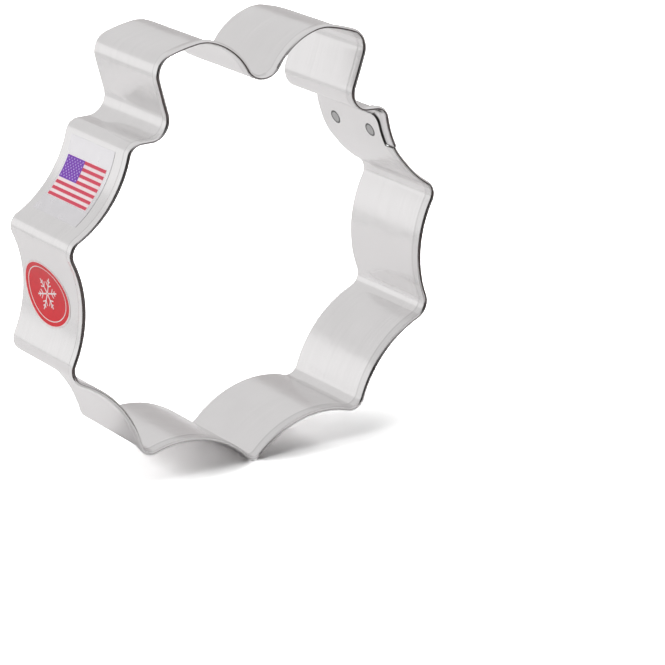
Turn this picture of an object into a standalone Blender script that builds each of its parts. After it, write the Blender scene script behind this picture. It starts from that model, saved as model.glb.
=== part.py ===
"""Wreath cookie cutter, standing on its bottom tip with the bow up.

One strip of tinned steel is bent into the outline of a wreath with a bow.  Its front edge is
folded outwards into a safe hem, its back edge is left plain and cuts the dough.  The two ends
of the strip lap at the right shoulder, where two spot welds hold them.  Two thin labels are
stuck on the outside of the left-hand scallops.

Metres, +Z up.  X runs across the wreath, Y from the hemmed rim (-Y) to the cutting edge (+Y).
The origin is at the middle of the base, below the bottom tip.
"""

import math
from collections import namedtuple

import bmesh
import bpy
from mathutils import Vector

# The finished cutter, over its hem
CUTTER_WIDTH = 0.0939
CUTTER_HEIGHT = 0.0956

# The strip
TIN_THICKNESS = 0.0003
BAND_WIDTH = 0.0254
HEM_WIDTH = 0.0022
HEM_GAP = 0.0003

# The outline of the middle of the tin, seen from the hemmed side.  Each bend is given by the
# corner where its two stretches would meet, its radius, and the rise of the arc that runs on
# to the next bend, counted positive where that arc bows outwards.  A corner's place is given
# as shares of the way from the middle to the side and from the base to the top.  It lies just
# beyond its rounded bend, so a share can pass 1.  These are the bends of the right half, from
# the bottom up.
Bend = namedtuple("Bend", "across up radius rise")
BOTTOM_TIP = Bend(across=0.0, up=-0.0044, radius=0.0020, rise=-0.0050)
LOWER_TIP = Bend(across=0.6126, up=0.0652, radius=0.0029, rise=-0.00405)
SIDE_LOWER_TIP = Bend(across=1.0173, up=0.2864, radius=0.0033, rise=-0.0040)
SIDE_UPPER_TIP = Bend(across=1.0262, up=0.5844, radius=0.0030, rise=-0.0034)
SHOULDER_TIP = Bend(across=0.7013, up=0.7985, radius=0.0030, rise=-0.0001)
BOW_ROOT = Bend(across=0.4719, up=0.8028, radius=0.0043, rise=0.0001)
BOW_CORNER = Bend(across=0.5801, up=0.9728, radius=0.0041, rise=0.00045)
BOW_CROWN = Bend(across=0.3323, up=1.0073, radius=0.0090, rise=0.00165)
NOTCH_CORNER = Bend(across=0.0823, up=0.9260, radius=0.0025, rise=-0.0018)
RIGHT_BENDS = (
    BOTTOM_TIP,
    LOWER_TIP,
    SIDE_LOWER_TIP,
    SIDE_UPPER_TIP,
    SHOULDER_TIP,
    BOW_ROOT,
    BOW_CORNER,
    BOW_CROWN,
    NOTCH_CORNER,
)

# The lap at the right shoulder, in lengths along the band.  The hemmed end lies outside and
# starts below the shoulder tip.  The other end runs on under it as a flap without a hem, set
# back from the rim and cut off just short of the tip, with its corner by the hem rounded.
LAP_CLEARANCE = 0.00006
HEMMED_END_TO_TIP = 0.0093
HEM_BUTT_GAP = 0.0003
STEP_RUN = 0.0060
FLAP_SET_BACK = 0.0030
FLAP_SHORT_OF_TIP = 0.0020
FLAP_CORNER_RADIUS = 0.0021

# The spot welds
WELD_DIAMETER = 0.0032
WELD_FROM_HEMMED_END = 0.0031
WELD_FROM_CUTTING_EDGE = 0.0057
WELD_PITCH = 0.0128
WELD_DIMPLE = 0.00003
WELD_FIT = 0.00005
WELD_SIDES = 24

# The labels, on the outside of the left-hand scallops.  The length runs along the band.
LABEL_FILM = 0.0001
LABEL_GAP = 0.0001
FLAG_LABEL_LENGTH = 0.0180
FLAG_LABEL_WIDTH = 0.0172
FLAG_LABEL_FROM_CUTTING_EDGE = 0.0026
FLAG_LABEL_ABOVE_MIDDLE = 0.0015
OVAL_LABEL_LONG = 0.0190
OVAL_LABEL_SHORT = 0.0130
OVAL_LABEL_FROM_CUTTING_EDGE = 0.0102
OVAL_LABEL_TILT = math.radians(-15)
OVAL_LABEL_STEPS = 24
FLAG_LABEL_STEPS = 10

# How finely the curves are divided, and the bend between facets that is still shaded smooth
FACET_SAG = 0.00004
CLOSEST_RINGS = 0.0002
FOLD_STEPS = 6
INNER_FOLD_STEPS = 4
FLAP_CORNER_STEPS = 5
SMOOTH_ANGLE = math.radians(30)

HALF_TIN = TIN_THICKNESS / 2
RIM_Y = -BAND_WIDTH / 2
CUTTING_EDGE_Y = BAND_WIDTH / 2
HEM_OUTSIDE = HALF_TIN + HEM_GAP + TIN_THICKNESS
LAP_INSET = TIN_THICKNESS + LAP_CLEARANCE

Arc = namedtuple("Arc", "centre radius start sweep length")
Station = namedtuple("Station", "point outward")


def clear_scene():
    for scene_object in list(bpy.data.objects):
        bpy.data.objects.remove(scene_object, do_unlink=True)


def make_material(name, colour, metallic, roughness):
    material = bpy.data.materials.new(name)
    material.use_nodes = True
    shader = material.node_tree.nodes["Principled BSDF"]
    shader.inputs["Base Color"].default_value = (*colour, 1.0)
    shader.inputs["Metallic"].default_value = metallic
    shader.inputs["Roughness"].default_value = roughness
    return material


def object_from_bmesh(name, mesh_builder, material):
    """Turns the normals outwards and puts the mesh into the scene as one named object."""
    bmesh.ops.recalc_face_normals(mesh_builder, faces=mesh_builder.faces)
    mesh = bpy.data.meshes.new(name)
    mesh_builder.to_mesh(mesh)
    mesh_builder.free()
    mesh.materials.append(material)
    mesh.shade_smooth()
    mesh.set_sharp_from_angle(angle=SMOOTH_ANGLE)
    new_object = bpy.data.objects.new(name, mesh)
    bpy.context.scene.collection.objects.link(new_object)
    return new_object


def all_bends():
    """The right-hand bends and their mirror images, counter-clockwise from the bottom tip."""
    bends = list(RIGHT_BENDS)
    for index in range(len(RIGHT_BENDS) - 1, 0, -1):
        bend = RIGHT_BENDS[index]
        rise_onwards = RIGHT_BENDS[index - 1].rise
        bends.append(Bend(-bend.across, bend.up, bend.radius, rise_onwards))
    return bends


def circle_through(start, end, rise):
    """Centre, radius and turning sense of the arc from start to end with this rise."""
    chord = end - start
    half_chord = chord.length / 2
    outward = Vector((chord.y, -chord.x)).normalized()
    radius = (half_chord**2 + rise**2) / (2 * abs(rise))
    sense = 1 if rise > 0 else -1
    centre = (start + end) / 2 - outward * sense * (radius - abs(rise))
    return centre, radius, sense


def tangent_at(circle, point):
    centre, radius, sense = circle
    spoke = (point - centre) / radius
    return Vector((-spoke.y, spoke.x)) * sense


def bend_circle(incoming, outgoing, corner, radius):
    """The circle of this radius that rounds the corner between two arcs, and where it joins."""
    before = tangent_at(incoming, corner)
    after = tangent_at(outgoing, corner)
    sense = 1 if before.cross(after) > 0 else -1
    reach_in = incoming[1] - sense * incoming[2] * radius
    reach_out = outgoing[1] - sense * outgoing[2] * radius
    apart = outgoing[0] - incoming[0]
    along = (apart.length**2 + reach_in**2 - reach_out**2) / (2 * apart.length)
    across = math.sqrt(reach_in**2 - along**2)
    direction = apart.normalized()
    sideways = Vector((-direction.y, direction.x))
    choices = [incoming[0] + direction * along + sideways * side * across for side in (1, -1)]
    centre = min(choices, key=lambda choice: (choice - corner).length)
    join_in = incoming[0] + (centre - incoming[0]).normalized() * incoming[1]
    join_out = outgoing[0] + (centre - outgoing[0]).normalized() * outgoing[1]
    return centre, sense, join_in, join_out


def arc_from(centre, start_point, end_point, sense):
    radius = (start_point - centre).length
    start = math.atan2(start_point.y - centre.y, start_point.x - centre.x)
    end = math.atan2(end_point.y - centre.y, end_point.x - centre.x)
    sweep = (end - start) * sense % math.tau * sense
    return Arc(centre, radius, start, sweep, radius * abs(sweep))


class Outline:
    """The closed centre line of the tin, as arcs, measured by length from the bottom tip."""

    def __init__(self, bends):
        half_width = CUTTER_WIDTH / 2 - HEM_OUTSIDE
        height = CUTTER_HEIGHT - 2 * HEM_OUTSIDE
        corners = [Vector((bend.across * half_width, bend.up * height)) for bend in bends]
        count = len(bends)
        circles = []
        for index, bend in enumerate(bends):
            following = corners[(index + 1) % count]
            circles.append(circle_through(corners[index], following, bend.rise))
        rounds = []
        for index, bend in enumerate(bends):
            circle = circles[index]
            rounds.append(bend_circle(circles[index - 1], circle, corners[index], bend.radius))
        self.arcs = []
        for index in range(count):
            centre, sense, join_in, join_out = rounds[index]
            self.arcs.append(arc_from(centre, join_in, join_out, sense))
            next_join = rounds[(index + 1) % count][2]
            self.arcs.append(arc_from(circles[index][0], join_out, next_join, circles[index][2]))
        self.starts = [0.0]
        for arc in self.arcs:
            self.starts.append(self.starts[-1] + arc.length)
        self.length = self.starts[-1]

    def bend_middle(self, index):
        return self.starts[2 * index] + self.arcs[2 * index].length / 2

    def stretch_middle(self, index):
        """Half way between the middles of one bend and the next."""
        return (self.bend_middle(index) + self.bend_middle(index + 1)) / 2

    def at(self, distance, offset=0.0):
        """The point at this length, moved outwards by the offset, and the outward direction."""
        distance %= self.length
        index = 0
        while distance > self.starts[index + 1]:
            index += 1
        arc = self.arcs[index]
        angle = arc.start + arc.sweep * (distance - self.starts[index]) / arc.length
        spoke = Vector((math.cos(angle), math.sin(angle)))
        outward = spoke if arc.sweep > 0 else -spoke
        return Station(arc.centre + spoke * arc.radius + outward * offset, outward)

    def divisions(self, first, last):
        """Lengths from first to last that keep each facet about FACET_SAG from its arc."""
        marks = []
        for turn in range(int(last // self.length) + 1):
            for arc, start in zip(self.arcs, self.starts):
                step = 2 * math.acos(1 - FACET_SAG / arc.radius)
                count = max(1, math.ceil(abs(arc.sweep) / step))
                for mark in range(count):
                    marks.append(turn * self.length + start + arc.length * mark / count)
        inner = [mark for mark in marks if first + CLOSEST_RINGS < mark < last - CLOSEST_RINGS]
        return [first] + inner + [last]


def smooth_step(value):
    value = min(max(value, 0.0), 1.0)
    return value * value * (3 - 2 * value)


def hem_profile():
    """The strip's section with its folded hem, as (outward, y) pairs, with the flap's corners
    first, second, last but one and last."""
    fold_centre = (HEM_OUTSIDE - HALF_TIN) / 2
    fold_radius = (HEM_OUTSIDE + HALF_TIN) / 2
    fold_y = RIM_Y + fold_radius
    flap_y = RIM_Y + FLAP_SET_BACK
    hem_end_y = RIM_Y + HEM_WIDTH
    points = [(-HALF_TIN, CUTTING_EDGE_Y), (-HALF_TIN, flap_y)]
    for step in range(FOLD_STEPS + 1):
        angle = math.pi + math.pi * step / FOLD_STEPS
        outward = fold_centre + fold_radius * math.cos(angle)
        points.append((outward, fold_y + fold_radius * math.sin(angle)))
    points.append((HEM_OUTSIDE, hem_end_y))
    points.append((HALF_TIN + HEM_GAP, hem_end_y))
    inner_radius = HEM_GAP / 2
    for step in range(INNER_FOLD_STEPS + 1):
        angle = math.tau - math.pi * step / INNER_FOLD_STEPS
        outward = fold_centre + inner_radius * math.cos(angle)
        points.append((outward, fold_y + inner_radius * math.sin(angle)))
    points += [(HALF_TIN, flap_y), (HALF_TIN, CUTTING_EDGE_Y)]
    return points


def section_ring(mesh_builder, station, profile, base_z):
    ring = []
    for outward, y in profile:
        place = station.point + station.outward * outward
        ring.append(mesh_builder.verts.new((place.x, y, place.y + base_z)))
    return ring


def bridge_rings(mesh_builder, first, second):
    count = len(first)
    for index in range(count):
        following = (index + 1) % count
        corners = (first[index], first[following], second[following], second[index])
        mesh_builder.faces.new(corners)


def hemmed_stations(outline, tip):
    """From the outer end, once round the wreath, to where the hem stops in front of it."""
    first = tip - HEMMED_END_TO_TIP
    last = first + outline.length - HEM_BUTT_GAP
    stations = []
    for distance in outline.divisions(first, last):
        inset = LAP_INSET * smooth_step((distance - last + STEP_RUN) / STEP_RUN)
        stations.append(outline.at(distance, -inset))
    return stations


def flap_stations(outline, tip):
    """The flap under the lap, as (station, set-back) pairs that round its corner by the hem."""
    first = tip - HEMMED_END_TO_TIP - HEM_BUTT_GAP
    last = tip - FLAP_SHORT_OF_TIP
    stations = []
    for mark in outline.divisions(first, last - FLAP_CORNER_RADIUS):
        stations.append((outline.at(mark, -LAP_INSET), FLAP_SET_BACK))
    for step in range(1, FLAP_CORNER_STEPS + 1):
        angle = math.pi / 2 * step / FLAP_CORNER_STEPS
        mark = last - FLAP_CORNER_RADIUS * (1 - math.sin(angle))
        set_back = FLAP_SET_BACK + FLAP_CORNER_RADIUS * (1 - math.cos(angle))
        stations.append((outline.at(mark, -LAP_INSET), set_back))
    return stations


def build_band(outline, tip, base_z, tin):
    mesh_builder = bmesh.new()
    profile = hem_profile()
    rings = []
    for station in hemmed_stations(outline, tip):
        rings.append(section_ring(mesh_builder, station, profile, base_z))
    for first, second in zip(rings, rings[1:]):
        bridge_rings(mesh_builder, first, second)
    mesh_builder.faces.new(rings[0])
    last_ring = rings[-1]
    mesh_builder.faces.new(last_ring[1:-1])

    flap_ring = last_ring[:2] + last_ring[-2:]
    for station, set_back in flap_stations(outline, tip)[1:]:
        near_y = RIM_Y + set_back
        section = (profile[0], (-HALF_TIN, near_y), (HALF_TIN, near_y), profile[-1])
        next_ring = section_ring(mesh_builder, station, section, base_z)
        bridge_rings(mesh_builder, flap_ring, next_ring)
        flap_ring = next_ring
    mesh_builder.faces.new(flap_ring)
    return object_from_bmesh("cutter_band", mesh_builder, tin)


def weld_cylinder(name, station, y, base_z, radius, outside, inside, material):
    """A round slug along the band's outward direction, from inside to outside of its middle."""
    mesh_builder = bmesh.new()
    along_band = Vector((-station.outward.y, station.outward.x))
    rings = []
    for offset in (inside, outside):
        ring = []
        for side in range(WELD_SIDES):
            angle = math.tau * side / WELD_SIDES
            place = station.point + station.outward * offset
            place += along_band * radius * math.cos(angle)
            y_here = y + radius * math.sin(angle)
            ring.append(mesh_builder.verts.new((place.x, y_here, place.y + base_z)))
        rings.append(ring)
    bridge_rings(mesh_builder, *rings)
    for ring in rings:
        mesh_builder.faces.new(ring)
    return object_from_bmesh(name, mesh_builder, material)


def build_welds(outline, tip, base_z, band, weld_metal):
    station = outline.at(tip - HEMMED_END_TO_TIP + WELD_FROM_HEMMED_END)
    outside = HALF_TIN - WELD_DIMPLE
    inside = -LAP_INSET - HALF_TIN + WELD_DIMPLE
    clear = TIN_THICKNESS
    edge_side_y = CUTTING_EDGE_Y - WELD_FROM_CUTTING_EDGE
    rows = {"spot_weld_edge_side": edge_side_y, "spot_weld_rim_side": edge_side_y - WELD_PITCH}
    for name, y in rows.items():
        radius = WELD_DIAMETER / 2
        weld_cylinder(name, station, y, base_z, radius, outside, inside, weld_metal)
        cutter = weld_cylinder(
            name + "_hole",
            station,
            y,
            base_z,
            radius + WELD_FIT,
            outside + clear,
            inside - clear,
            weld_metal,
        )
        cutter.hide_render = True
        cutter.display_type = "WIRE"
        cut = band.modifiers.new(name + "_hole", "BOOLEAN")
        cut.operation = "DIFFERENCE"
        cut.solver = "EXACT"
        cut.object = cutter


def label_from_spans(name, outline, spans, base_z, material):
    """A thin film on the outside of the band, from (length, lowest y, highest y) spans."""
    mesh_builder = bmesh.new()
    under = HALF_TIN + LABEL_GAP
    over = under + LABEL_FILM
    rings = []
    for distance, y_low, y_high in spans:
        station = outline.at(distance)
        profile = ((under, y_low), (over, y_low), (over, y_high), (under, y_high))
        rings.append(section_ring(mesh_builder, station, profile, base_z))
    for first, second in zip(rings, rings[1:]):
        bridge_rings(mesh_builder, first, second)
    mesh_builder.faces.new(rings[0])
    mesh_builder.faces.new(rings[-1])
    return object_from_bmesh(name, mesh_builder, material)


def build_flag_label(outline, scallop_middle, base_z, film):
    middle = scallop_middle - FLAG_LABEL_ABOVE_MIDDLE
    y_high = CUTTING_EDGE_Y - FLAG_LABEL_FROM_CUTTING_EDGE
    spans = []
    for step in range(FLAG_LABEL_STEPS + 1):
        along = (step / FLAG_LABEL_STEPS - 0.5) * FLAG_LABEL_LENGTH
        spans.append((middle + along, y_high - FLAG_LABEL_WIDTH, y_high))
    label_from_spans("flag_label", outline, spans, base_z, film)


def build_oval_label(outline, scallop_middle, base_z, film):
    """An ellipse with its long axis across the band, tilted a little, cut into spans."""
    across = OVAL_LABEL_LONG / 2
    along = OVAL_LABEL_SHORT / 2
    cosine = math.cos(OVAL_LABEL_TILT)
    sine = math.sin(OVAL_LABEL_TILT)
    reach = math.hypot(along * cosine, across * sine)
    square_term = (cosine / across) ** 2 + (sine / along) ** 2
    centre_y = CUTTING_EDGE_Y - OVAL_LABEL_FROM_CUTTING_EDGE
    spans = []
    for step in range(OVAL_LABEL_STEPS):
        angle = math.pi * (step + 0.5) / OVAL_LABEL_STEPS
        here = -reach * math.cos(angle)
        cross_term = here * sine * cosine * (1 / across**2 - 1 / along**2)
        free_term = here**2 * ((sine / across) ** 2 + (cosine / along) ** 2) - 1
        half_width = math.sqrt(cross_term**2 - square_term * free_term) / square_term
        middle_y = centre_y - cross_term / square_term
        spans.append((scallop_middle + here, middle_y - half_width, middle_y + half_width))
    label_from_spans("oval_label", outline, spans, base_z, film)


def build_cutter():
    tin = make_material("tinned_steel", (0.80, 0.79, 0.78), 1.0, 0.28)
    weld_metal = make_material("weld_spot", (0.52, 0.52, 0.52), 1.0, 0.45)
    flag_film = make_material("flag_label_film", (0.86, 0.84, 0.86), 0.0, 0.35)
    red_film = make_material("oval_label_film", (0.72, 0.04, 0.06), 0.0, 0.35)

    bends = all_bends()
    outline = Outline(bends)
    tip = outline.bend_middle(RIGHT_BENDS.index(SHOULDER_TIP))
    lowest = min(outline.at(mark).point.y for mark in outline.divisions(0.0, outline.length))
    base_z = HEM_OUTSIDE - lowest

    band = build_band(outline, tip, base_z, tin)
    build_welds(outline, tip, base_z, band, weld_metal)
    left_shoulder = len(bends) - RIGHT_BENDS.index(SHOULDER_TIP)
    left_upper_tip = len(bends) - RIGHT_BENDS.index(SIDE_UPPER_TIP)
    flag_scallop = outline.stretch_middle(left_shoulder)
    oval_scallop = outline.stretch_middle(left_upper_tip)
    build_flag_label(outline, flag_scallop, base_z, flag_film)
    build_oval_label(outline, oval_scallop, base_z, red_film)


clear_scene()
build_cutter()
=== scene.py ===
"""Looks of the wreath cookie cutter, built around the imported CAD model.

The strip, its two spot welds and its two labels are built again as fine meshes in the CAD's
places.  Metres, +Z up; X runs across the wreath, Y from the hemmed rim (-Y) to the cutting
edge (+Y).
"""

import math
from collections import namedtuple

import bmesh
import bpy
from mathutils import Matrix, Vector


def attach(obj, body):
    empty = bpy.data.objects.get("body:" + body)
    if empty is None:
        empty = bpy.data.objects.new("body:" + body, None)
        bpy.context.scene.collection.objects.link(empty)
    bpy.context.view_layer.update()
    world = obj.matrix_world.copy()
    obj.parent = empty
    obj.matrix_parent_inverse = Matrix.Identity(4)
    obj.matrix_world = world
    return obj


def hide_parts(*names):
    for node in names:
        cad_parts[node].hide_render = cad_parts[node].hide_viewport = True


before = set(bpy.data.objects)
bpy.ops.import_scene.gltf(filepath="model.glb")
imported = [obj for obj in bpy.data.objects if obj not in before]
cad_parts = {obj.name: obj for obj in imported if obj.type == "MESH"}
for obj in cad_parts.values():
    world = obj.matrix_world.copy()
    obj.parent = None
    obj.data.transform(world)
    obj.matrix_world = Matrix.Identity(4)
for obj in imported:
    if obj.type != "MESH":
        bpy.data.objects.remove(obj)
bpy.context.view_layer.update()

# The finished cutter and its strip, in the CAD source's sizes.  The folded part of the hem
# leans back towards the strip by the closing angle.
CUTTER_WIDTH = 0.0939
CUTTER_HEIGHT = 0.0956
TIN_THICKNESS = 0.0003
BAND_WIDTH = 0.0254
HEM_WIDTH = 0.0022
HEM_BEAD = 0.0009
HEM_CLOSING = math.radians(8)
HALF_TIN = TIN_THICKNESS / 2
RIM_Y = -BAND_WIDTH / 2
CUTTING_EDGE_Y = BAND_WIDTH / 2
HEM_OUTSIDE = HEM_BEAD - HALF_TIN

# The bends of the right half, from the bottom up, as in the CAD source.  Across is a share of
# the half width, up is a share of the height, and rise is how far the stretch that follows
# bulges outwards.
Bend = namedtuple("Bend", "across up radius rise")
BOTTOM_TIP = Bend(across=0.0, up=-0.0044, radius=0.0020, rise=-0.0050)
LOWER_TIP = Bend(across=0.6126, up=0.0652, radius=0.0029, rise=-0.00405)
SIDE_LOWER_TIP = Bend(across=1.0173, up=0.2864, radius=0.0033, rise=-0.0040)
SIDE_UPPER_TIP = Bend(across=1.0262, up=0.5844, radius=0.0030, rise=-0.0034)
SHOULDER_TIP = Bend(across=0.7013, up=0.7985, radius=0.0030, rise=-0.0001)
BOW_ROOT = Bend(across=0.4719, up=0.8028, radius=0.0043, rise=0.0001)
BOW_CORNER = Bend(across=0.5801, up=0.9728, radius=0.0041, rise=0.00045)
BOW_CROWN = Bend(across=0.3323, up=1.0073, radius=0.0090, rise=0.00165)
NOTCH_CORNER = Bend(across=0.0823, up=0.9260, radius=0.0025, rise=-0.0018)
RIGHT_BENDS = (
    BOTTOM_TIP,
    LOWER_TIP,
    SIDE_LOWER_TIP,
    SIDE_UPPER_TIP,
    SHOULDER_TIP,
    BOW_ROOT,
    BOW_CORNER,
    BOW_CROWN,
    NOTCH_CORNER,
)

# The lap at the right shoulder, as in the CAD source, but with the two hem ends drawn closer
LAP_CLEARANCE = 0.00006
HEMMED_END_TO_TIP = 0.0093
HEM_BUTT_GAP = 0.00003
STEP_RUN = 0.0060
FLAP_SET_BACK = 0.0030
FLAP_SHORT_OF_TIP = 0.0020
FLAP_CORNER_RADIUS = 0.0021
LAP_INSET = TIN_THICKNESS + LAP_CLEARANCE

# The spot welds: each is one slug through the lap, with a flat and a raised ring at both faces.
# The rings of a face are given as (radius, height over the tin) from its flat outwards.
WELD_RADIUS = 0.0016
WELD_FROM_HEMMED_END = 0.0031
WELD_FROM_CUTTING_EDGE = 0.0057
WELD_PITCH = 0.0128
WELD_MIDDLE_HEIGHT = 0.000008
WELD_RINGS = (
    (0.0006, 0.000009),
    (0.00118, 0.000012),
    (0.00128, 0.000028),
    (0.00142, 0.000032),
    (0.00154, 0.000020),
    (WELD_RADIUS, -0.00002),
)
WELD_SIDES = 48

# The bevel of the hem's raw edge, as (across, along) shares of it, and the shallow line that
# the folding leaves in the inner face
RAW_BEVEL = 0.00010
RAW_BEVEL_SHARES = ((0.0, 1.0), (0.4, 0.25), (1.0, 0.0))
IMPRINT_FROM_RIM = 0.0020
IMPRINT_WIDTH = 0.0005
IMPRINT_DEPTH = 0.000012

# How finely the band is divided, and the bend between facets that is still shaded smooth
TURN_STEP = math.radians(3)
LONGEST_STEP = 0.0012
CLOSEST_STEP = 0.0001
WALL_ROWS = 14
IMPRINT_ROWS = 6
FOLD_STEPS = 12
INNER_FOLD_STEPS = 6
HEM_ROW_SHARES = (0.3, 0.6, 0.85)
FLAP_CORNER_STEPS = 8
SMOOTH_ANGLE = math.radians(35)

# The labels, whose length runs along the band.  A film's two faces are given by their height
# over the tin, and INK is the thickness of one coat.
FILM_UNDERSIDE = 0.00001
FILM_TOP = 0.00005
INK = 0.000012
FLAG_LABEL_LENGTH = 0.0180
FLAG_LABEL_WIDTH = 0.0172
FLAG_LABEL_FROM_CUTTING_EDGE = 0.0026
FLAG_LABEL_ABOVE_MIDDLE = 0.0015
OVAL_LABEL_LONG = 0.0190
OVAL_LABEL_SHORT = 0.0130
OVAL_LABEL_FROM_CUTTING_EDGE = 0.0102
OVAL_LABEL_TILT = math.radians(-15)

# The flag on the flag label
FLAG_FROM_LABEL_START = 0.0043
FLAG_FROM_CUTTING_EDGE = 0.0034
FLAG_HEIGHT = 0.0095
FLAG_LENGTH = 0.0151
FLAG_GROUND_MARGIN = 0.00012
STRIPES = 13
CANTON_STRIPES = 7
CANTON_LENGTH = 0.0068
STAR_ROWS = 9
STAR_COLUMNS = 11
STAR_POINTS = 5
STAR_RADIUS = 0.00023
STAR_INNER_RADIUS = STAR_RADIUS * 0.5

# The red oval, its thin ring and its snowflake
OVAL_RINGS = 8
OVAL_SIDES = 72
RED_SHARE = 0.945
RING_SHARES = (0.80, 0.825)
ARM_COUNT = 6
ARM_START = 0.0002
ARM_LENGTH = 0.0038
ARM_WIDTH = 0.00030
TWIG_SHARES = (0.45, 0.72)
TWIG_ANGLE = math.radians(52)
TWIG_WIDTH = ARM_WIDTH * 0.85
TWIG_TAPER_END = 1.05
TWIG_SLENDERNESS = 0.55
BAR_STEP = 0.0008

Circle = namedtuple("Circle", "centre radius sense")
Rounding = namedtuple("Rounding", "centre sense join_in join_out")
Arc = namedtuple("Arc", "centre radius start sweep length")
Station = namedtuple("Station", "point outward")


def all_bends():
    """The right-hand bends and their mirror images, counter-clockwise from the bottom tip."""
    bends = list(RIGHT_BENDS)
    for index in range(len(RIGHT_BENDS) - 1, 0, -1):
        bend = RIGHT_BENDS[index]
        rise_onwards = RIGHT_BENDS[index - 1].rise
        bends.append(Bend(-bend.across, bend.up, bend.radius, rise_onwards))
    return bends


def circle_through(start, end, rise):
    """The circle of the arc from start to end with this rise, and the sense in which it turns."""
    chord = end - start
    half_chord = chord.length / 2
    outward = Vector((chord.y, -chord.x)).normalized()
    radius = (half_chord**2 + rise**2) / (2 * abs(rise))
    sense = 1 if rise > 0 else -1
    centre = (start + end) / 2 - outward * sense * (radius - abs(rise))
    return Circle(centre, radius, sense)


def tangent_at(circle, point):
    spoke = (point - circle.centre) / circle.radius
    return Vector((-spoke.y, spoke.x)) * circle.sense


def round_corner(incoming, outgoing, corner, radius):
    """The bend of this radius between two arcs that meet at the corner, and where it joins them."""
    before = tangent_at(incoming, corner)
    after = tangent_at(outgoing, corner)
    sense = 1 if before.cross(after) > 0 else -1
    reach_in = incoming.radius - sense * incoming.sense * radius
    reach_out = outgoing.radius - sense * outgoing.sense * radius
    apart = outgoing.centre - incoming.centre
    along = (apart.length**2 + reach_in**2 - reach_out**2) / (2 * apart.length)
    across = math.sqrt(reach_in**2 - along**2)
    direction = apart.normalized()
    foot = incoming.centre + direction * along
    sideways = Vector((-direction.y, direction.x)) * across
    choices = (foot + sideways, foot - sideways)
    centre = min(choices, key=lambda choice: (choice - corner).length)
    join_in = incoming.centre + (centre - incoming.centre).normalized() * incoming.radius
    join_out = outgoing.centre + (centre - outgoing.centre).normalized() * outgoing.radius
    return Rounding(centre, sense, join_in, join_out)


def arc_from(centre, start_point, end_point, sense):
    radius = (start_point - centre).length
    start = math.atan2(start_point.y - centre.y, start_point.x - centre.x)
    end = math.atan2(end_point.y - centre.y, end_point.x - centre.x)
    sweep = (end - start) * sense % math.tau * sense
    return Arc(centre, radius, start, sweep, radius * abs(sweep))


class Outline:
    """The closed centre line of the tin, as arcs, measured by length from the bottom tip."""

    def __init__(self, bends):
        half_width = CUTTER_WIDTH / 2 - HEM_OUTSIDE
        height = CUTTER_HEIGHT - 2 * HEM_OUTSIDE
        corners = [Vector((bend.across * half_width, bend.up * height)) for bend in bends]
        count = len(bends)
        circles = []
        for index, bend in enumerate(bends):
            following = corners[(index + 1) % count]
            circles.append(circle_through(corners[index], following, bend.rise))
        roundings = []
        for index, bend in enumerate(bends):
            incoming, outgoing = circles[index - 1], circles[index]
            roundings.append(round_corner(incoming, outgoing, corners[index], bend.radius))
        self.arcs = []
        for index, (centre, sense, join_in, join_out) in enumerate(roundings):
            circle = circles[index]
            next_join = roundings[(index + 1) % count].join_in
            self.arcs.append(arc_from(centre, join_in, join_out, sense))
            self.arcs.append(arc_from(circle.centre, join_out, next_join, circle.sense))
        self.starts = [0.0]
        for arc in self.arcs:
            self.starts.append(self.starts[-1] + arc.length)
        self.length = self.starts[-1]
        lowest = min(self.at(mark).point.y for mark in self.divisions(0, self.length))
        self.base_z = HEM_OUTSIDE - lowest

    def bend_middle(self, index):
        return self.starts[2 * index] + self.arcs[2 * index].length / 2

    def stretch_middle(self, index):
        return (self.bend_middle(index) + self.bend_middle(index + 1)) / 2

    def at(self, distance, offset=0.0):
        """The point at this length, moved outwards by the offset, and the outward direction."""
        distance %= self.length
        index = 0
        while distance > self.starts[index + 1]:
            index += 1
        arc = self.arcs[index]
        angle = arc.start + arc.sweep * (distance - self.starts[index]) / arc.length
        spoke = Vector((math.cos(angle), math.sin(angle)))
        outward = spoke if arc.sweep > 0 else -spoke
        return Station(arc.centre + spoke * arc.radius + outward * offset, outward)

    def divisions(self, first, last):
        """Lengths from first to last, close enough together for smooth reflections."""
        marks = []
        for turn in range(int(last // self.length) + 1):
            for arc, start in zip(self.arcs, self.starts):
                count = math.ceil(max(abs(arc.sweep) / TURN_STEP, arc.length / LONGEST_STEP))
                for mark in range(count):
                    marks.append(turn * self.length + start + arc.length * mark / count)
        inner = [mark for mark in marks if first + CLOSEST_STEP < mark < last - CLOSEST_STEP]
        return [first] + inner + [last]


outline = Outline(all_bends())
shoulder = RIGHT_BENDS.index(SHOULDER_TIP)
tip = outline.bend_middle(shoulder)
hemmed_end = tip - HEMMED_END_TO_TIP


# Mesh helpers
def smooth_step(value):
    value = min(max(value, 0.0), 1.0)
    return value * value * (3 - 2 * value)


def spread(first, last, steps):
    """Values from first to last in equal steps."""
    return [first + (last - first) * step / steps for step in range(steps + 1)]


def to_world(station, outward, y):
    """The world place this far outwards of a station, at this y."""
    place = station.point + station.outward * outward
    return Vector((place.x, y, place.y + outline.base_z))


def bridge_rings(mesh_builder, first, second):
    """One face for each side of the rings, in their order."""
    faces = []
    for index, corner in enumerate(first):
        following = (index + 1) % len(first)
        corners = (corner, first[following], second[following], second[index])
        faces.append(mesh_builder.faces.new(corners))
    return faces


def add_fan(mesh_builder, hub, ring):
    for index, corner in enumerate(ring):
        mesh_builder.faces.new((hub, corner, ring[(index + 1) % len(ring)]))


def set_material(faces, material_index):
    for face in faces:
        face.material_index = material_index


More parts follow.
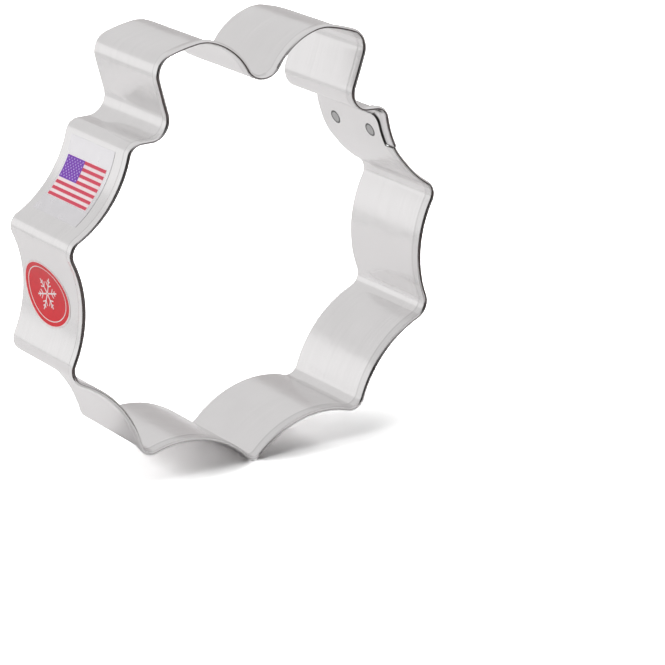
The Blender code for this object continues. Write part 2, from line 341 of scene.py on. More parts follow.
def finish_mesh(name, mesh_builder, materials):
    bmesh.ops.recalc_face_normals(mesh_builder, faces=mesh_builder.faces)
    mesh = bpy.data.meshes.new(name)
    mesh_builder.to_mesh(mesh)
    mesh_builder.free()
    for material in materials:
        mesh.materials.append(material)
    mesh.shade_smooth()
    mesh.set_sharp_from_angle(angle=SMOOTH_ANGLE)
    piece = bpy.data.objects.new(name, mesh)
    bpy.context.scene.collection.objects.link(piece)
    return piece


def wear(piece, slot_name, *nodes):
    """Ties the piece to the CAD: its body and the nodes that it stands in for. slot_name is not used.
    """
    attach(piece, "root")
    if nodes:
        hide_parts(*nodes)


# Material helpers.  A noise's values nearly all lie between these two.
NOISE_LOW = 0.3
NOISE_HIGH = 0.7


def material_nodes(name):
    material = bpy.data.materials.new(name)
    material.use_nodes = True
    nodes = material.node_tree.nodes
    return material, nodes, material.node_tree.links, nodes["Principled BSDF"]


def math_node(nodes, links, operation, *values):
    node = nodes.new("ShaderNodeMath")
    node.operation = operation
    for index, value in enumerate(values):
        if isinstance(value, (int, float)):
            node.inputs[index].default_value = value
        else:
            links.new(value, node.inputs[index])
    return node.outputs[0]


def stretched_noise(nodes, links, grain, detail):
    """Noise over the object's own coordinates; the grain is its scale per metre along each axis."""
    coordinates = nodes.new("ShaderNodeTexCoord")
    mapping = nodes.new("ShaderNodeMapping")
    mapping.inputs["Scale"].default_value = grain
    noise_node = nodes.new("ShaderNodeTexNoise")
    noise_node.inputs["Scale"].default_value = 1.0
    noise_node.inputs["Detail"].default_value = detail
    links.new(coordinates.outputs["Object"], mapping.inputs["Vector"])
    links.new(mapping.outputs["Vector"], noise_node.inputs["Vector"])
    return noise_node.outputs["Fac"]


def remap(nodes, links, noise, low, high):
    """The noise, spread from low to high."""
    node = nodes.new("ShaderNodeMapRange")
    node.inputs["From Min"].default_value = NOISE_LOW
    node.inputs["From Max"].default_value = NOISE_HIGH
    node.inputs["To Min"].default_value = low
    node.inputs["To Max"].default_value = high
    links.new(noise, node.inputs["Value"])
    return node.outputs["Result"]


def toned(nodes, links, colour, tone):
    """The colour, made lighter or darker from place to place by the tone."""
    node = nodes.new("ShaderNodeVectorMath")
    node.operation = "SCALE"
    node.inputs[0].default_value = colour
    links.new(tone, node.inputs["Scale"])
    return node.outputs[0]


# The metals.  Tones and roughness are given as the lowest and the highest value.
TIN_COLOUR = (0.80, 0.792, 0.792)
TIN_ROUGHNESS = (0.19, 0.27)
STREAK_GRAIN = (25, 5200, 25)
STREAK_TONES = (0.975, 1.02)
CLOUD_GRAIN = (160, 160, 160)
CLOUD_TONES = (0.985, 1.015)
WAVE_GRAIN = (110, 60, 110)
WAVE_DEPTH = 0.0002
MOTTLE_GRAIN = (1500, 1500, 1500)
CUT_GRAIN = (900, 2600, 900)
MOTTLE_ROUGHENING = 0.1
# The painted shade line along the hem's raw edge, and how far the hem's painted light and shade reach
HEM_SHADE_LINE_HALF_WIDTH = 0.0001
HEM_SHADE_LINE_BLUR = 0.0003
HEM_PAINTED_SHADE_REACH = 0.004


def hem_painted_shade(nodes, links, strip_painted_light, line_painted_shade):
    """Painted light as a factor for the tin's colour: the hem's own strip, painted darker or lighter,
    and a painted shade line along its raw edge.
    """
    line_start = HEM_WIDTH - HEM_SHADE_LINE_HALF_WIDTH
    line_end = HEM_WIDTH + HEM_SHADE_LINE_HALF_WIDTH
    stops = (
        (0.0, strip_painted_light),
        (line_start - HEM_SHADE_LINE_BLUR, strip_painted_light),
        (line_start, line_painted_shade),
        (line_end, line_painted_shade),
        (line_end + HEM_SHADE_LINE_BLUR, 1.0),
    )
    geometry = nodes.new("ShaderNodeNewGeometry")
    split = nodes.new("ShaderNodeSeparateXYZ")
    links.new(geometry.outputs["Position"], split.inputs[0])
    from_rim = math_node(nodes, links, "SUBTRACT", split.outputs["Y"], RIM_Y)
    ramp = nodes.new("ShaderNodeValToRGB")
    elements = ramp.color_ramp.elements
    while len(elements) < len(stops):
        elements.new(0.5)
    for element, (distance, tone) in zip(elements, stops):
        element.position = distance / HEM_PAINTED_SHADE_REACH
        element.color = (tone, tone, tone, 1)
    share = math_node(nodes, links, "DIVIDE", from_rim, HEM_PAINTED_SHADE_REACH)
    links.new(share, ramp.inputs["Fac"])
    return ramp.outputs["Color"]


def tin_material(name, strip_painted_light, line_painted_shade):
    """Bright rolled tin: fine streaks along the strip, faint clouding and a slight waviness, with
    painted shade and highlight along the hem.
    """
    material, nodes, links, shader = material_nodes(name)
    shader.inputs["Metallic"].default_value = 1.0
    streaks = stretched_noise(nodes, links, STREAK_GRAIN, detail=2)
    clouds = stretched_noise(nodes, links, CLOUD_GRAIN, detail=3)
    streak_tone = remap(nodes, links, streaks, *STREAK_TONES)
    cloud_tone = remap(nodes, links, clouds, *CLOUD_TONES)
    tone = math_node(nodes, links, "MULTIPLY", streak_tone, cloud_tone)
    shade = nodes.new("ShaderNodeVectorMath")
    shade.operation = "MULTIPLY"
    links.new(toned(nodes, links, TIN_COLOUR, tone), shade.inputs[0])
    # The hem's painted shade and highlight, laid over the tin's colour
    links.new(hem_painted_shade(nodes, links, strip_painted_light, line_painted_shade), shade.inputs[1])
    links.new(shade.outputs[0], shader.inputs["Base Color"])
    links.new(remap(nodes, links, clouds, *TIN_ROUGHNESS), shader.inputs["Roughness"])
    bump = nodes.new("ShaderNodeBump")
    bump.inputs["Strength"].default_value = 1.0
    bump.inputs["Distance"].default_value = WAVE_DEPTH
    waves = stretched_noise(nodes, links, WAVE_GRAIN, detail=3)
    links.new(waves, bump.inputs["Height"])
    links.new(bump.outputs["Normal"], shader.inputs["Normal"])
    return material


def worked_metal(name, colour, roughness, grain=MOTTLE_GRAIN, contrast=0.12):
    """Metal that was pressed, melted or cut: mottled and a little rough."""
    material, nodes, links, shader = material_nodes(name)
    shader.inputs["Metallic"].default_value = 1.0
    mottle = stretched_noise(nodes, links, grain, detail=3)
    tone = remap(nodes, links, mottle, 1 - contrast, 1 + contrast)
    links.new(toned(nodes, links, colour, tone), shader.inputs["Base Color"])
    roughening = remap(nodes, links, mottle, roughness, roughness + MOTTLE_ROUGHENING)
    links.new(roughening, shader.inputs["Roughness"])
    return material


# The band.  The inside has material number 0, and these are the numbers of the others.
OUTSIDE, EDGE_AND_GAP_SHADE, FLAP_END = 1, 2, 3


def imprint_points():
    """The shallow line in the inner face, from its far side to the rim's."""
    points = []
    for row in range(IMPRINT_ROWS + 1):
        share = row / IMPRINT_ROWS
        dent = IMPRINT_DEPTH * (1 - math.cos(math.tau * share)) / 2
        y = RIM_Y + IMPRINT_FROM_RIM + IMPRINT_WIDTH * (0.5 - share)
        points.append((-HALF_TIN + dent, y))
    return points


def fold_points(radius, angles):
    """Points at this radius from the middle of the hem's fold."""
    middle = HEM_OUTSIDE - HEM_BEAD / 2
    middle_y = RIM_Y + HEM_BEAD / 2
    points = []
    for angle in angles:
        points.append((middle + radius * math.cos(angle), middle_y + radius * math.sin(angle)))
    return points


def hem_points():
    """Round the fold, along the folded part to its raw edge, and back round the fold's inside."""
    fold_end = math.tau + HEM_CLOSING
    points = fold_points(HEM_BEAD / 2, spread(math.pi, fold_end, FOLD_STEPS))
    slope = Vector((-math.sin(HEM_CLOSING), math.cos(HEM_CLOSING)))
    square = Vector((math.cos(HEM_CLOSING), math.sin(HEM_CLOSING)))
    outer_start = Vector(points[-1])
    run = (RIM_Y + HEM_WIDTH - outer_start.y) / slope.y
    for share in HEM_ROW_SHARES:
        points.append(tuple(outer_start + slope * run * share))
    raw_corner = outer_start + slope * run
    for across, along in RAW_BEVEL_SHARES:
        points.append(tuple(raw_corner - (square * across + slope * along) * RAW_BEVEL))
    points.append(tuple(raw_corner - square * TIN_THICKNESS))
    inside_angles = spread(fold_end, math.pi, INNER_FOLD_STEPS)
    return points + fold_points(HEM_BEAD / 2 - TIN_THICKNESS, inside_angles)


def wall_points(near_y):
    """The inner face from the cutting edge to this y, and the outer face from it back again."""
    inner = [(-HALF_TIN, y) for y in spread(CUTTING_EDGE_Y, near_y, WALL_ROWS)]
    outer = [(HALF_TIN, y) for y in spread(near_y, CUTTING_EDGE_Y, WALL_ROWS)]
    return inner, outer


def hemmed_stations():
    """Once round the wreath from the outer end, stepping inwards before it passes under it."""
    first = hemmed_end
    last = first + outline.length - HEM_BUTT_GAP
    stations = []
    for distance in outline.divisions(first, last):
        inset = LAP_INSET * smooth_step((distance - last + STEP_RUN) / STEP_RUN)
        stations.append(outline.at(distance, -inset))
    return stations


def flap_stations():
    """The flap under the lap, as (station, set-back) pairs: its corner by the hem is rounded."""
    first = hemmed_end - HEM_BUTT_GAP
    last = tip - FLAP_SHORT_OF_TIP
    stations = []
    for mark in outline.divisions(first, last - FLAP_CORNER_RADIUS):
        stations.append((outline.at(mark, -LAP_INSET), FLAP_SET_BACK))
    for step in range(1, FLAP_CORNER_STEPS + 1):
        angle = math.pi / 2 * step / FLAP_CORNER_STEPS
        mark = last - FLAP_CORNER_RADIUS * (1 - math.sin(angle))
        set_back = FLAP_SET_BACK + FLAP_CORNER_RADIUS * (1 - math.cos(angle))
        stations.append((outline.at(mark, -LAP_INSET), set_back))
    return stations


def build_band(materials):
    """The hemmed strip once round, and from its last ring the flap, which has no hem."""
    mesh_builder = bmesh.new()
    inner, outer = wall_points(RIM_Y + FLAP_SET_BACK)
    hem = imprint_points() + hem_points()
    fold_middle = len(inner) + IMPRINT_ROWS + 1 + FOLD_STEPS // 2

    def ring(station, section):
        return [mesh_builder.verts.new(to_world(station, outward, y)) for outward, y in section]

    rings = [ring(station, inner + hem + outer) for station in hemmed_stations()]
    for first, second in zip(rings, rings[1:]):
        set_material(bridge_rings(mesh_builder, first, second)[fold_middle:], OUTSIDE)
    last_ring = rings[-1]
    hem_end = last_ring[len(inner) - 1 : len(inner) + len(hem) + 1]
    for end in (rings[0], hem_end):
        mesh_builder.faces.new(end).material_index = EDGE_AND_GAP_SHADE

    flap_ring = last_ring[: len(inner)] + last_ring[-len(outer) :]
    for station, set_back in flap_stations()[1:]:
        flap_inner, flap_outer = wall_points(RIM_Y + set_back)
        next_ring = ring(station, flap_inner + flap_outer)
        faces = bridge_rings(mesh_builder, flap_ring, next_ring)
        set_material(faces[len(inner) :], OUTSIDE)
        faces[len(inner) - 1].material_index = EDGE_AND_GAP_SHADE
        flap_ring = next_ring
    mesh_builder.faces.new(flap_ring).material_index = FLAP_END
    return finish_mesh("tinned_band", mesh_builder, materials)


# Painted light along the hem: the inside's strip is painted darker and the outside's lighter, and both
# get a painted shade line along the raw edge
tin_inside = tin_material("tin_inside_painted_shade_look", strip_painted_light=0.91, line_painted_shade=0.84)
tin_outside = tin_material("tin_outside_painted_light_look", strip_painted_light=1.02, line_painted_shade=0.80)
# The raw edges' dark colour is bare steel, darkened further by painted shade for the gaps beside them
edge_metal_and_gap_shade = worked_metal("raw_edge_painted_gap_shade_look", (0.16, 0.155, 0.15), roughness=0.40, grain=CUT_GRAIN)
flap_end = worked_metal("flap_end_look", (0.80, 0.79, 0.79), roughness=0.5, contrast=0.04)
wear(build_band([tin_inside, tin_outside, edge_metal_and_gap_shade, flap_end]), "tinned_steel", "cutter_band")


# The spot welds.  The flat has material number 0, and this is the number of the raised ring's.
RAISED_RING = 1


def build_weld(name, depth, materials):
    """One slug, whose two faces stand a little proud of the tin on both sides of the lap."""
    mesh_builder = bmesh.new()
    centre = hemmed_end + WELD_FROM_HEMMED_END
    centre_y = CUTTING_EDGE_Y - depth

    def ring(radius, outward):
        corners = []
        for side in range(WELD_SIDES):
            angle = math.tau * side / WELD_SIDES
            station = outline.at(centre + radius * math.cos(angle))
            place = to_world(station, outward, centre_y + radius * math.sin(angle))
            corners.append(mesh_builder.verts.new(place))
        return corners

    caps = []
    for face_offset, sense in ((-LAP_INSET - HALF_TIN, -1), (HALF_TIN, 1)):
        rings = [ring(radius, face_offset + sense * height) for radius, height in WELD_RINGS]
        middle_offset = face_offset + sense * WELD_MIDDLE_HEIGHT
        hub = mesh_builder.verts.new(to_world(outline.at(centre), middle_offset, centre_y))
        add_fan(mesh_builder, hub, rings[0])
        bridge_rings(mesh_builder, rings[0], rings[1])
        for first, second in zip(rings[1:], rings[2:]):
            set_material(bridge_rings(mesh_builder, first, second), RAISED_RING)
        caps.append(rings[-1])
    bridge_rings(mesh_builder, *caps)
    return finish_mesh(name, mesh_builder, materials)


weld_flat = worked_metal("weld_face_look", (0.46, 0.46, 0.46), roughness=0.38)
weld_ring = worked_metal("weld_ring_look", (0.15, 0.15, 0.15), roughness=0.33)
for name, depth, node in (
    ("weld_mark_edge_side", WELD_FROM_CUTTING_EDGE, "spot_weld_edge_side"),
    ("weld_mark_rim_side", WELD_FROM_CUTTING_EDGE + WELD_PITCH, "spot_weld_rim_side"),
):
    wear(build_weld(name, depth, [weld_flat, weld_ring]), "weld_spot", node)


# What lies on the band: places are given by length along the band and depth from the
# cutting edge, and heights are measured from the metal's outer face.
def on_outside(along, depth, height):
    return to_world(outline.at(along), HALF_TIN + height, CUTTING_EDGE_Y - depth)


def add_slab(mesh_builder, rows, low, high, closed=False):
    """A thin slab over a grid of (along, depth) places, whose rows may join up in a ring."""

    def sheet_at(height):
        return [[mesh_builder.verts.new(on_outside(*place, height)) for place in row] for row in rows]

    def add_face(*corners):
        mesh_builder.faces.new(corners)

    top = sheet_at(high)
    bottom = sheet_at(low)
    row_count = len(rows)
    last_column = len(rows[0]) - 1
    for row in range(row_count if closed else row_count - 1):
        after = (row + 1) % row_count
        for column in range(last_column):
            for sheet in (top, bottom):
                near, far = sheet[row], sheet[after]
                add_face(near[column], near[column + 1], far[column + 1], far[column])
        for column in (0, last_column):
            add_face(top[row][column], top[after][column], bottom[after][column], bottom[row][column])
    if not closed:
        for over, under in ((top[0], bottom[0]), (top[-1], bottom[-1])):
            for column in range(last_column):
                add_face(over[column], over[column + 1], under[column + 1], under[column])


def rectangle_rows(along_range, depth_range, along_steps, depth_steps):
    """A grid of (along, depth) places over a rectangle."""
    depths = spread(*depth_range, depth_steps)
    return [[(along, depth) for depth in depths] for along in spread(*along_range, along_steps)]


# The labels' inks and films.  Tones and roughness are given as for the metals.
INK_GRAIN = (900, 900, 900)
INK_TONES = (0.96, 1.04)
INK_ROUGHNESS = 0.35
GLUE_GRAIN = (420, 420, 420)
GLUE_TONES = (0.975, 1.02)
CLEAR_FILM_METALLIC = 0.92
CLEAR_FILM_ROUGHNESS = (0.20, 0.28)


def print_material(name, colour, shine=0.3):
    """Ink or coloured film, slightly uneven."""
    material, nodes, links, shader = material_nodes(name)
    mottle = stretched_noise(nodes, links, INK_GRAIN, detail=2)
    tone = remap(nodes, links, mottle, *INK_TONES)
    links.new(toned(nodes, links, colour, tone), shader.inputs["Base Color"])
    shader.inputs["Roughness"].default_value = INK_ROUGHNESS
    shader.inputs["Specular IOR Level"].default_value = shine
    return material


def film_material(name, colour):
    """Clear film on tin: the metal shows through it, a little softened and clouded by the glue."""
    material, nodes, links, shader = material_nodes(name)
    shader.inputs["Metallic"].default_value = CLEAR_FILM_METALLIC
    glue = stretched_noise(nodes, links, GLUE_GRAIN, detail=3)
    tone = remap(nodes, links, glue, *GLUE_TONES)
    links.new(toned(nodes, links, colour, tone), shader.inputs["Base Color"])
    links.new(remap(nodes, links, glue, *CLEAR_FILM_ROUGHNESS), shader.inputs["Roughness"])
    return material


# The flag label: a clear film with a striped flag printed on it
left_shoulder = len(all_bends()) - shoulder
flag_label_middle = outline.stretch_middle(left_shoulder) - FLAG_LABEL_ABOVE_MIDDLE
flag_label_start = flag_label_middle - FLAG_LABEL_LENGTH / 2
flag_top = flag_label_start + FLAG_FROM_LABEL_START
flag_near = FLAG_FROM_CUTTING_EDGE
flag_far = flag_near + FLAG_LENGTH
stripe_height = FLAG_HEIGHT / STRIPES
canton_height = stripe_height * CANTON_STRIPES
canton_far = flag_near + CANTON_LENGTH


def build_flag_film():
    material = film_material("label_film_look", (0.80, 0.79, 0.81))
    mesh_builder = bmesh.new()
    depth_end = FLAG_LABEL_FROM_CUTTING_EDGE + FLAG_LABEL_WIDTH
    rows = rectangle_rows(
        (flag_label_start, flag_label_start + FLAG_LABEL_LENGTH),
        (FLAG_LABEL_FROM_CUTTING_EDGE, depth_end),
        along_steps=30,
        depth_steps=6,
    )
    add_slab(mesh_builder, rows, FILM_UNDERSIDE, FILM_TOP)
    wear(finish_mesh("flag_label_film", mesh_builder, [material]), "flag_label_film", "flag_label")


def build_flag_ground():
    """The pale ink under the stripes, which also shows between them."""
    material = print_material("white_ink_look", (0.95, 0.80, 0.82))
    mesh_builder = bmesh.new()
    rows = rectangle_rows(
        (flag_top - FLAG_GROUND_MARGIN, flag_top + FLAG_HEIGHT + FLAG_GROUND_MARGIN),
        (flag_near, flag_far + FLAG_GROUND_MARGIN),
        along_steps=26,
        depth_steps=4,
    )
    add_slab(mesh_builder, rows, FILM_TOP - INK, FILM_TOP + INK)
    wear(finish_mesh("flag_white_ink", mesh_builder, [material]), "flag_label_film")


def build_flag_stripes():
    material = print_material("red_ink_look", (0.70, 0.055, 0.105), shine=0.5)
    mesh_builder = bmesh.new()
    for stripe in range(0, STRIPES, 2):
        start = canton_far if stripe < CANTON_STRIPES else flag_near
        stripe_top = flag_top + stripe * stripe_height
        along_range = (stripe_top, stripe_top + stripe_height)
        rows = rectangle_rows(along_range, (start, flag_far), along_steps=2, depth_steps=4)
        add_slab(mesh_builder, rows, FILM_TOP, FILM_TOP + 2 * INK)
    wear(finish_mesh("flag_red_stripes", mesh_builder, [material]), "flag_label_film")


def build_flag_canton():
    material = print_material("blue_ink_look", (0.22, 0.065, 0.50))
    mesh_builder = bmesh.new()
    along_range = (flag_top, flag_top + canton_height)
    rows = rectangle_rows(along_range, (flag_near, canton_far), along_steps=14, depth_steps=4)
    add_slab(mesh_builder, rows, FILM_TOP, FILM_TOP + 2 * INK)
    wear(finish_mesh("flag_canton", mesh_builder, [material]), "flag_label_film")


def add_star(mesh_builder, along, depth):
    upper, lower = [], []
    for corner in range(2 * STAR_POINTS):
        radius = STAR_RADIUS if corner % 2 == 0 else STAR_INNER_RADIUS
        angle = math.tau * corner / (2 * STAR_POINTS)
        place = (along - radius * math.cos(angle), depth + radius * math.sin(angle))
        upper.append(mesh_builder.verts.new(on_outside(*place, FILM_TOP + 3 * INK)))
        lower.append(mesh_builder.verts.new(on_outside(*place, FILM_TOP + INK)))
    bridge_rings(mesh_builder, upper, lower)
    mesh_builder.faces.new(upper)
    mesh_builder.faces.new(lower)


def build_flag_stars():
    material = print_material("star_ink_look", (0.62, 0.46, 0.84))
    mesh_builder = bmesh.new()
    for row in range(STAR_ROWS):
        along = flag_top + canton_height * (row + 1) / (STAR_ROWS + 1)
        for column in range(row % 2, STAR_COLUMNS, 2):
            depth = flag_near + CANTON_LENGTH * (column + 1) / (STAR_COLUMNS + 1)
            add_star(mesh_builder, along, depth)
    wear(finish_mesh("flag_stars", mesh_builder, [material]), "flag_label_film")


build_flag_film()
build_flag_ground()
build_flag_stripes()
build_flag_canton()
build_flag_stars()

# The oval label: red film with a pale border, a thin ring and a plain snowflake
left_upper_tip = len(all_bends()) - RIGHT_BENDS.index(SIDE_UPPER_TIP)
oval_middle = outline.stretch_middle(left_upper_tip)


def oval_place(size_share, angle):
    """A place on the tilted oval that is this share of the label's size."""
    across = math.cos(angle) * OVAL_LABEL_LONG / 2 * size_share
    along = math.sin(angle) * OVAL_LABEL_SHORT / 2 * size_share
    cosine, sine = math.cos(OVAL_LABEL_TILT), math.sin(OVAL_LABEL_TILT)
    return (
        oval_middle + along * cosine + across * sine,
        OVAL_LABEL_FROM_CUTTING_EDGE - across * cosine + along * sine,
    )


def oval_ring(size_share):
    return [oval_place(size_share, math.tau * side / OVAL_SIDES) for side in range(OVAL_SIDES)]


def build_oval(name, material, size_share, low, high, *nodes):
    mesh_builder = bmesh.new()
    borders = []
    for height in (high, low):
        rings = []
        for ring in range(1, OVAL_RINGS + 1):
            places = oval_ring(size_share * ring / OVAL_RINGS)
            rings.append([mesh_builder.verts.new(on_outside(*place, height)) for place in places])
        hub = mesh_builder.verts.new(on_outside(*oval_place(0, 0), height))
        add_fan(mesh_builder, hub, rings[0])
        for first, second in zip(rings, rings[1:]):
            bridge_rings(mesh_builder, first, second)
        borders.append(rings[-1])
    bridge_rings(mesh_builder, *borders)
    wear(finish_mesh(name, mesh_builder, [material]), "oval_label_film", *nodes)


def add_bar(mesh_builder, start, end, width):
    """A straight stroke of ink between two (along, depth) places."""
    direction = (end - start).normalized()
    to_side = Vector((-direction.y, direction.x)) * width / 2
    steps = max(2, math.ceil((end - start).length / BAR_STEP))
    rows = []
    for step in range(steps + 1):
        place = start + (end - start) * step / steps
        rows.append([tuple(place + to_side), tuple(place - to_side)])
    add_slab(mesh_builder, rows, FILM_TOP, FILM_TOP + 2 * INK)


def add_snowflake_arm(mesh_builder, hub, angle):
    """One arm, with two pairs of twigs that are shorter towards its end."""
    along_arm = Vector((math.sin(angle), math.cos(angle)))
    add_bar(mesh_builder, hub + along_arm * ARM_START, hub + along_arm * ARM_LENGTH, ARM_WIDTH)
    for share in TWIG_SHARES:
        root = hub + along_arm * ARM_LENGTH * share
        twig_length = ARM_LENGTH * (TWIG_TAPER_END - share) * TWIG_SLENDERNESS
        for turn in (-1, 1):
            twig = angle + turn * TWIG_ANGLE
            twig_end = root + Vector((math.sin(twig), math.cos(twig))) * twig_length
            add_bar(mesh_builder, root, twig_end, TWIG_WIDTH)


def build_ring_and_snowflake():
    material = print_material("white_line_look", (0.93, 0.84, 0.84))
    mesh_builder = bmesh.new()
    rows = list(zip(*(oval_ring(share) for share in RING_SHARES)))
    add_slab(mesh_builder, rows, FILM_TOP, FILM_TOP + 2 * INK, closed=True)
    hub = Vector((oval_middle, OVAL_LABEL_FROM_CUTTING_EDGE))
    for arm in range(ARM_COUNT):
        add_snowflake_arm(mesh_builder, hub, math.tau * arm / ARM_COUNT + OVAL_LABEL_TILT)
    wear(finish_mesh("oval_label_snowflake", mesh_builder, [material]), "oval_label_film")


pale_film = print_material("pale_border_look", (0.90, 0.78, 0.78))
red_film = print_material("red_film_look", (0.76, 0.022, 0.035))
build_oval("oval_label_border", pale_film, 1.0, FILM_UNDERSIDE, FILM_TOP, "oval_label")
build_oval("oval_label_red", red_film, RED_SHARE, FILM_TOP - INK, FILM_TOP + INK)
build_ring_and_snowflake()

# The set: a white floor, and round it the cards and the dome that show only in the metal's
# reflections.  The flat cards and the patch lie one over the other, close above the floor.
FLOOR_REACH = 6.0
FLOOR_COLOUR = (0.85, 0.85, 0.85, 1)
FLOOR_LIFT = (1.9, 1.9, 1.9, 1)
WORLD_LIGHT = 0.03
SURROUND_REACH = 4.0
SURROUND_BOTTOM = -0.2 * SURROUND_REACH
SURROUND_TONE = (0.79, 0.782, 0.782)
BACK_CARD_HEIGHT = 0.0003
BACK_CARD_TONE = (0.78, 0.772, 0.772)
PATCH_REACH = 0.16
PATCH_HEIGHT = 0.00045
PATCH_COLOUR = (1.0, 0.985, 0.985, 1)

# Two dark cards towards the camera, one flat and one upright, give the rim its dark line.  A
# grey one stands at the right.
FRONT_CARD_HEIGHT = 0.0006
FRONT_CARD_TONE = (0.07, 0.055, 0.055)
FRONT_CARD_OUTLINE = (
    (-0.9, 0.41),
    (-0.06, 0.0),
    (-0.05, -0.05),
    (0.05, -0.05),
    (0.06, 0.03),
    (0.34, 0.28),
    (0.40, -0.30),
    (0.10, -0.52),
    (-0.9, -0.52),
)
CAMERA_SIDE_TONE = (0.008, 0.006, 0.006)
CAMERA_SIDE_CORNERS = (
    (-0.55, -0.02, 0.0),
    (0.09, -0.49, 0.0),
    (0.09, -0.49, 0.30),
    (-0.55, -0.02, 0.40),
)
RIGHT_CARD_TONE = (0.57, 0.55, 0.55)
RIGHT_CARD_CORNERS = (
    (0.8, -0.4, 0.002),
    (0.8, 2.0, 0.002),
    (0.8, 2.0, 0.70),
    (0.8, -0.4, 0.70),
)

# The camera, as fitted to the photograph
PICTURE_SIDE = 665
FOCAL_LENGTH_IN_PIXELS = 2897.8
SENSOR_WIDTH = 36.0
CAMERA_PLACE = (-0.3393, -0.4964, 0.2310)
CAMERA_FORWARD = (0.5646, 0.7600, -0.3219)
CAMERA_RIGHT = (0.8088, -0.5873, 0.0322)


def empty_tree(owner, output_kind):
    owner.use_nodes = True
    nodes, links = owner.node_tree.nodes, owner.node_tree.links
    nodes.clear()
    return nodes, links, nodes.new(output_kind)


def mix_where_seen(nodes, links, lighting, seen):
    """The seen shader where a camera, glossy or transmission ray meets it, else the lighting one."""
    path = nodes.new("ShaderNodeLightPath")
    is_seen = path.outputs["Is Camera Ray"]
    for kind in ("Is Glossy Ray", "Is Transmission Ray"):
        is_seen = math_node(nodes, links, "MAXIMUM", is_seen, path.outputs[kind])
    mix = nodes.new("ShaderNodeMixShader")
    links.new(is_seen, mix.inputs[0])
    links.new(lighting.outputs[0], mix.inputs[1])
    links.new(seen.outputs[0], mix.inputs[2])
    return mix.outputs[0]


def polygon(name, corners):
    mesh = bpy.data.meshes.new(name)
    mesh.from_pydata(corners, [], [tuple(range(len(corners)))])
    return mesh


def square_corners(reach, height):
    return [(reach * x, reach * y, height) for x, y in ((-1, -1), (1, -1), (1, 1), (-1, 1))]


def build_floor():
    """A white sheet, which keeps the cutter's shadow and looks whiter than it lights the tin."""
    mesh = polygon("floor", square_corners(FLOOR_REACH, 0))
    floor = bpy.data.objects.new("floor", mesh)
    bpy.context.scene.collection.objects.link(floor)
    material = bpy.data.materials.new("floor_look")
    nodes, links, output = empty_tree(material, "ShaderNodeOutputMaterial")
    diffuse = nodes.new("ShaderNodeBsdfDiffuse")
    diffuse.inputs["Color"].default_value = FLOOR_COLOUR
    lift = nodes.new("ShaderNodeBsdfDiffuse")
    lift.inputs["Color"].default_value = FLOOR_LIFT
    both = nodes.new("ShaderNodeAddShader")
    links.new(diffuse.outputs[0], both.inputs[0])
    links.new(lift.outputs[0], both.inputs[1])
    links.new(mix_where_seen(nodes, links, diffuse, both), output.inputs[0])
    mesh.materials.append(material)


def show_in_reflections(name, mesh, material):
    mesh.materials.append(material)
    card = bpy.data.objects.new(name, mesh)
    bpy.context.scene.collection.objects.link(card)
    card.visible_camera = False
    card.visible_diffuse = False
    card.visible_shadow = False
    card.visible_transmission = False


def light_card(name, mesh, tone):
    """Shows this tone in the metal, which throws none of it on the floor: it glows only for
    rays that have met no diffuse surface."""
    material = bpy.data.materials.new(name + "_look")
    nodes, links, output = empty_tree(material, "ShaderNodeOutputMaterial")
    glow = nodes.new("ShaderNodeEmission")
    glow.inputs["Color"].default_value = (*tone, 1)
    path = nodes.new("ShaderNodeLightPath")
    first_hand = math_node(nodes, links, "LESS_THAN", path.outputs["Diffuse Depth"], 0.5)
    links.new(first_hand, glow.inputs["Strength"])
    links.new(glow.outputs[0], output.inputs[0])
    show_in_reflections(name, mesh, material)


def build_card(name, corners, tone):
    light_card(name, polygon(name, corners), tone)


def build_floor_patch():
    """The floor near the cutter as the tin reflects it, with the cutter's shadow on it."""
    material, nodes, links, shader = material_nodes("floor_patch_look")
    shader.inputs["Base Color"].default_value = PATCH_COLOUR
    shader.inputs["Roughness"].default_value = 1.0
    shader.inputs["Specular IOR Level"].default_value = 0.0
    mesh = polygon("floor_patch", square_corners(PATCH_REACH, PATCH_HEIGHT))
    show_in_reflections("floor_patch", mesh, material)


def build_dome():
    """A pale dome round the whole set."""
    mesh_builder = bmesh.new()
    bmesh.ops.create_icosphere(mesh_builder, subdivisions=4, radius=SURROUND_REACH)
    low_side = [vert for vert in mesh_builder.verts if vert.co.z < SURROUND_BOTTOM]
    bmesh.ops.delete(mesh_builder, geom=low_side, context="VERTS")
    mesh = bpy.data.meshes.new("surround_dome")
    mesh_builder.to_mesh(mesh)
    mesh_builder.free()
    light_card("surround_dome", mesh, SURROUND_TONE)


def build_world():
    """White where it is looked at, and faint as a light."""
    world = bpy.data.worlds.new("studio")
    bpy.context.scene.world = world
    nodes, links, output = empty_tree(world, "ShaderNodeOutputWorld")
    backgrounds = []
    for strength in (WORLD_LIGHT, 1.0):
        background = nodes.new("ShaderNodeBackground")
        background.inputs["Color"].default_value = (1, 1, 1, 1)
        background.inputs["Strength"].default_value = strength
        backgrounds.append(background)
    links.new(mix_where_seen(nodes, links, *backgrounds), output.inputs[0])


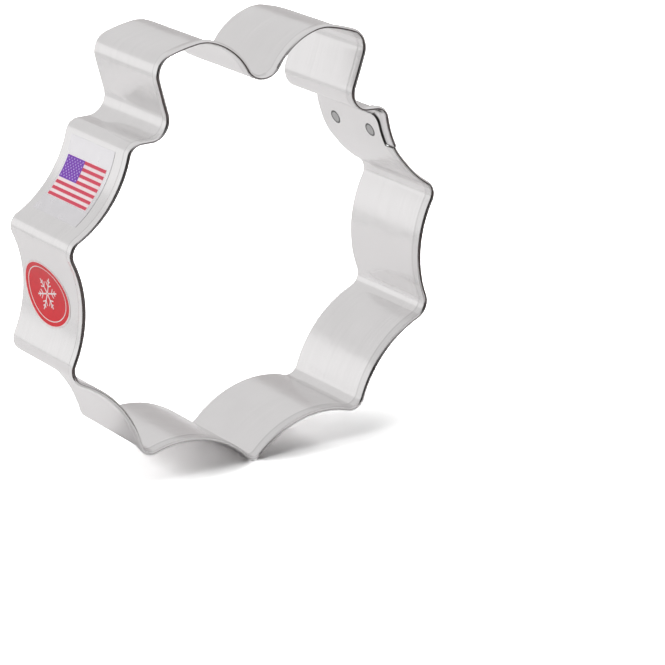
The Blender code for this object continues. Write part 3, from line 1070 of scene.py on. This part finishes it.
def area_light(name, place, aim, size, radiance, in_reflections=True):
    """A lamp of this size that shows this brightness where the metal reflects it."""
    light = bpy.data.lights.new(name, "AREA")
    light.shape = "RECTANGLE"
    light.size, light.size_y = size
    light.energy = radiance * math.pi * size[0] * size[1]
    lamp = bpy.data.objects.new(name, light)
    lamp.location = place
    lamp.rotation_mode = "QUATERNION"
    lamp.rotation_quaternion = (Vector(aim) - Vector(place)).to_track_quat("-Z", "Y")
    lamp.visible_glossy = in_reflections
    bpy.context.scene.collection.objects.link(lamp)


def build_lamps():
    """A small softbox behind the cutter that the tin reflects, and three lamps that it doesn't."""
    area_light("side_softbox", (-0.27, 0.30, 0.10), aim=(0, 0, 0.05), size=(0.30, 0.20), radiance=0.22)
    for name, place, size, radiance in (
        ("overhead_softbox", (-0.22, 0.36, 1.15), (2.4, 1.1), 1.62),
        ("left_fill", (-2.0, 0.3, 1.2), (0.8, 1.0), 6.7),
        ("right_fill", (2.0, 0.3, 1.2), (0.8, 1.0), 5.9),
    ):
        area_light(name, place, (0, 0, 0), size, radiance, in_reflections=False)


def build_camera():
    camera_data = bpy.data.cameras.new("camera")
    camera_data.sensor_width = SENSOR_WIDTH
    camera_data.lens = FOCAL_LENGTH_IN_PIXELS / PICTURE_SIDE * SENSOR_WIDTH
    camera_data.clip_start = 0.01
    camera_data.clip_end = 50.0
    camera = bpy.data.objects.new("camera", camera_data)
    forward = Vector(CAMERA_FORWARD).normalized()
    up = Vector(CAMERA_RIGHT).cross(forward).normalized()
    right = forward.cross(up)
    turn = Matrix((right, up, -forward)).transposed().to_4x4()
    camera.matrix_world = Matrix.Translation(CAMERA_PLACE) @ turn
    bpy.context.scene.collection.objects.link(camera)
    bpy.context.scene.camera = camera


build_floor()
build_world()
build_card("back_floor_card", square_corners(SURROUND_REACH, BACK_CARD_HEIGHT), BACK_CARD_TONE)
build_floor_patch()
front_corners = [(x, y, FRONT_CARD_HEIGHT) for x, y in FRONT_CARD_OUTLINE]
build_card("front_floor_card", front_corners, FRONT_CARD_TONE)
build_card("camera_side_card", CAMERA_SIDE_CORNERS, CAMERA_SIDE_TONE)
build_card("right_card", RIGHT_CARD_CORNERS, RIGHT_CARD_TONE)
build_dome()
build_lamps()
build_camera()
bpy.context.scene.view_settings.view_transform = "Standard"
